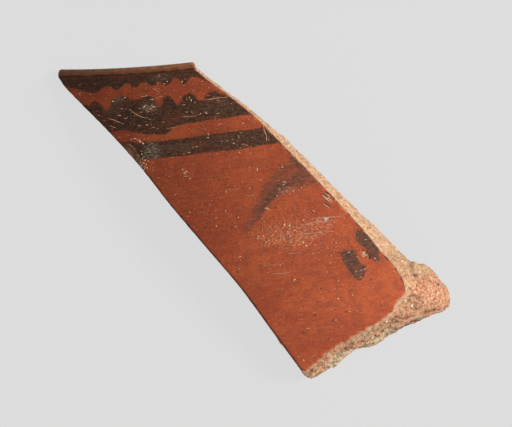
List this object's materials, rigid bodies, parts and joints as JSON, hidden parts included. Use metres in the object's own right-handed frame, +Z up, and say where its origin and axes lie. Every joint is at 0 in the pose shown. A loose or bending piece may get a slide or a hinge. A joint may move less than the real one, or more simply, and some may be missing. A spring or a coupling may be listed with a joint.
{
  "type": "pottery sherd",
  "caption": "Rim sherd of a wide red-slipped pottery bowl with dark painted bands and a brush stroke, lying painted side up on the worn corners of its breaks.",
  "frame": {"origin": "middle of the box's foot, on the surface that the sherd lies on", "axes": "+Z up, out of the painted face; +Y towards the rim; +X towards the thick broken corner"},
  "size_m": [0.085, 0.0888, 0.0225],
  "materials": {
    "clay": "matte",
    "red_slip": "satin",
    "lip_wash": "satin",
    "dark_paint": "satin",
    "dab_paint": "matte",
    "lime": "matte",
    "soil": "matte",
    "pale_grit": "matte",
    "dark_grit": "matte",
    "red_grit": "matte"
  },
  "bodies": {
    "root": {"clay_wall": "clay", "red_slip": "red_slip", "lip_wash": "lip_wash", "rim_band": "dark_paint", "scalloped_band": "dark_paint", "lower_band": "dark_paint", "brush_stroke": "dark_paint", "left_dab": "dab_paint", "right_dab": "dab_paint", "lime_crust": "lime", "lime_speck": "lime", "soil_crust": "soil", "soil_film": "soil", "white_grit_1": "pale_grit", "white_grit_2": "pale_grit", "yellow_grit": "pale_grit", "dark_grit_1": "dark_grit", "dark_grit_2": "dark_grit", "dark_grit_3": "dark_grit", "red_grit": "red_grit"}
  },
  "joints": []
}
